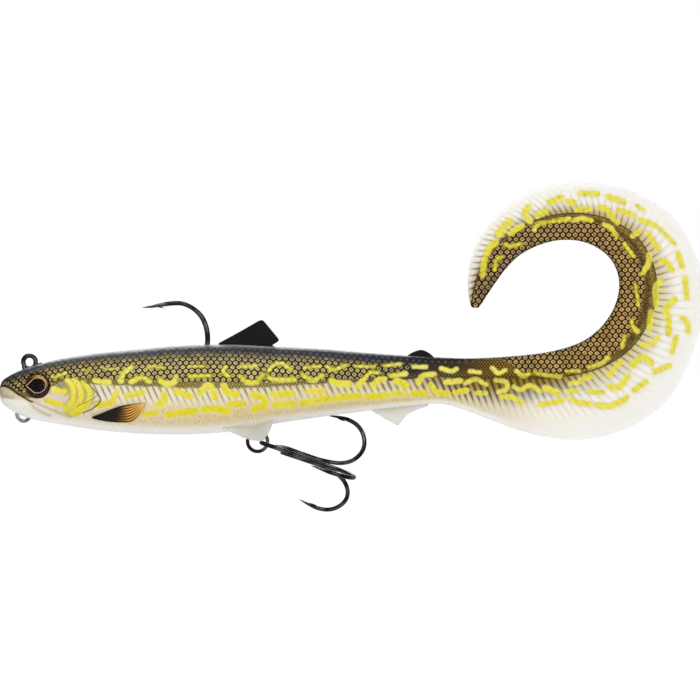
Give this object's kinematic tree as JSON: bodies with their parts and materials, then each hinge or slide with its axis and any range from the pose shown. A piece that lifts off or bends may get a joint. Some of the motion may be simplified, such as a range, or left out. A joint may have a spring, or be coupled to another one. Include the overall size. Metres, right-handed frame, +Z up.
{
  "type": "curl-tail swimbait",
  "caption": "Ready-rigged soft swimbait shaped like a young pike, with a curled paddle tail, a jig hook through its back and a treble hook under its belly.",
  "frame": {"origin": "centre of the line-tie eye on top of the head", "axes": "+X from nose to tail, +Y to the fish's right, +Z up from belly to back; the lure lies in its swimming attitude"},
  "size_m": [0.2411, 0.0307, 0.1131],
  "materials": {
    "soft_body": "gloss over printed scales, clear towards the belly",
    "soft_tail": "gloss, brown scaled band and clear membrane",
    "black_fin": "satin black",
    "clear_fin": "clear milky, finely rayed",
    "orange_fin": "gloss, orange fading to a black root",
    "hook_steel": "black nickel",
    "bare_steel": "bright",
    "lead": "as cast",
    "eye_print": "printed foil",
    "eye_resin": "clear gloss"
  },
  "bodies": {
    "trunk": {"trunk": "soft_body", "jig_hook": "hook_steel", "ballast_weight": "lead", "chin_loop": "bare_steel", "belly_hanger": "bare_steel", "pectoral_fin_left": "orange_fin", "pectoral_fin_right": "orange_fin", "eye_iris_left": "eye_print", "eye_iris_right": "eye_print", "eye_dome_left": "eye_resin", "eye_dome_right": "eye_resin"},
    "rear_body": {"rear_body": "soft_body", "adipose_fin": "black_fin"},
    "tail_stem": {"tail_stem": "soft_tail"},
    "curl_lower": {"curl_lower": "soft_tail"},
    "curl_upper": {"curl_upper": "soft_tail"},
    "curl_tip": {"curl_tip": "soft_tail"},
    "dorsal_fin": {"dorsal_fin": "black_fin"},
    "pelvic_fin_left": {"pelvic_fin_left": "clear_fin"},
    "pelvic_fin_right": {"pelvic_fin_right": "clear_fin"},
    "anal_fin": {"anal_fin": "clear_fin"},
    "split_ring": {"split_ring": "hook_steel"},
    "treble": {"treble_hook_pair": "hook_steel", "treble_hook_third": "hook_steel"}
  },
  "joints": [
    {"name": "rear_body_sway", "type": "hinge", "parent": "trunk", "child": "rear_body", "pos_m": [0.10812, 0, -0.007], "axis": [0, 0, 1], "range_deg": [-15, 15], "stiffness_Nm_per_rad": 0.02},
    {"name": "tail_sway", "type": "hinge", "parent": "rear_body", "child": "tail_stem", "pos_m": [0.14379, 0, -0.0067], "axis": [0, 0, 1], "range_deg": [-20, 20], "stiffness_Nm_per_rad": 0.01},
    {"name": "curl_sway", "type": "hinge", "parent": "tail_stem", "child": "curl_lower", "pos_m": [0.16725, 0, -0.0104], "axis": [0.0594, 0, 0.9982], "range_deg": [-25, 25], "stiffness_Nm_per_rad": 0.008},
    {"name": "curl_fold", "type": "hinge", "parent": "curl_lower", "child": "curl_upper", "pos_m": [0.2159, 0, 0.01796], "axis": [-0.8835, 0, 0.4685], "range_deg": [-25, 25], "stiffness_Nm_per_rad": 0.006},
    {"name": "tip_flick", "type": "hinge", "parent": "curl_upper", "child": "curl_tip", "pos_m": [0.18215, 0, 0.05135], "axis": [0.1846, 0, 0.9828], "range_deg": [-25, 25], "stiffness_Nm_per_rad": 0.003},
    {"name": "dorsal_fin_flex", "type": "hinge", "parent": "trunk", "child": "dorsal_fin", "pos_m": [0.0745, 0, 0.00635], "axis": [0.9992, 0, -0.0412], "range_deg": [-25, 25], "stiffness_Nm_per_rad": 0.003},
    {"name": "pelvic_fin_left_flex", "type": "hinge", "parent": "trunk", "child": "pelvic_fin_left", "pos_m": [0.0665, -0.0044, -0.0231], "axis": [0.99, 0.0342, 0.1371], "range_deg": [-12, 12], "stiffness_Nm_per_rad": 0.001},
    {"name": "pelvic_fin_right_flex", "type": "hinge", "parent": "trunk", "child": "pelvic_fin_right", "pos_m": [0.0665, 0.0044, -0.0231], "axis": [0.99, -0.0342, 0.1371], "range_deg": [-12, 12], "stiffness_Nm_per_rad": 0.001},
    {"name": "anal_fin_flex", "type": "hinge", "parent": "rear_body", "child": "anal_fin", "pos_m": [0.1267, 0, -0.0164], "axis": [0.9952, 0, 0.0974], "range_deg": [-20, 20], "stiffness_Nm_per_rad": 0.001},
    {"name": "ring_tilt", "type": "hinge", "parent": "trunk", "child": "split_ring", "pos_m": [0.0782, 0, -0.02555], "axis": [1, 0, 0], "range_deg": [-15, 15]},
    {"name": "treble_swing", "type": "hinge", "parent": "split_ring", "child": "treble", "pos_m": [0.0782, 0, -0.0273], "axis": [0, 1, 0], "range_deg": [0, 110]}
  ]
}
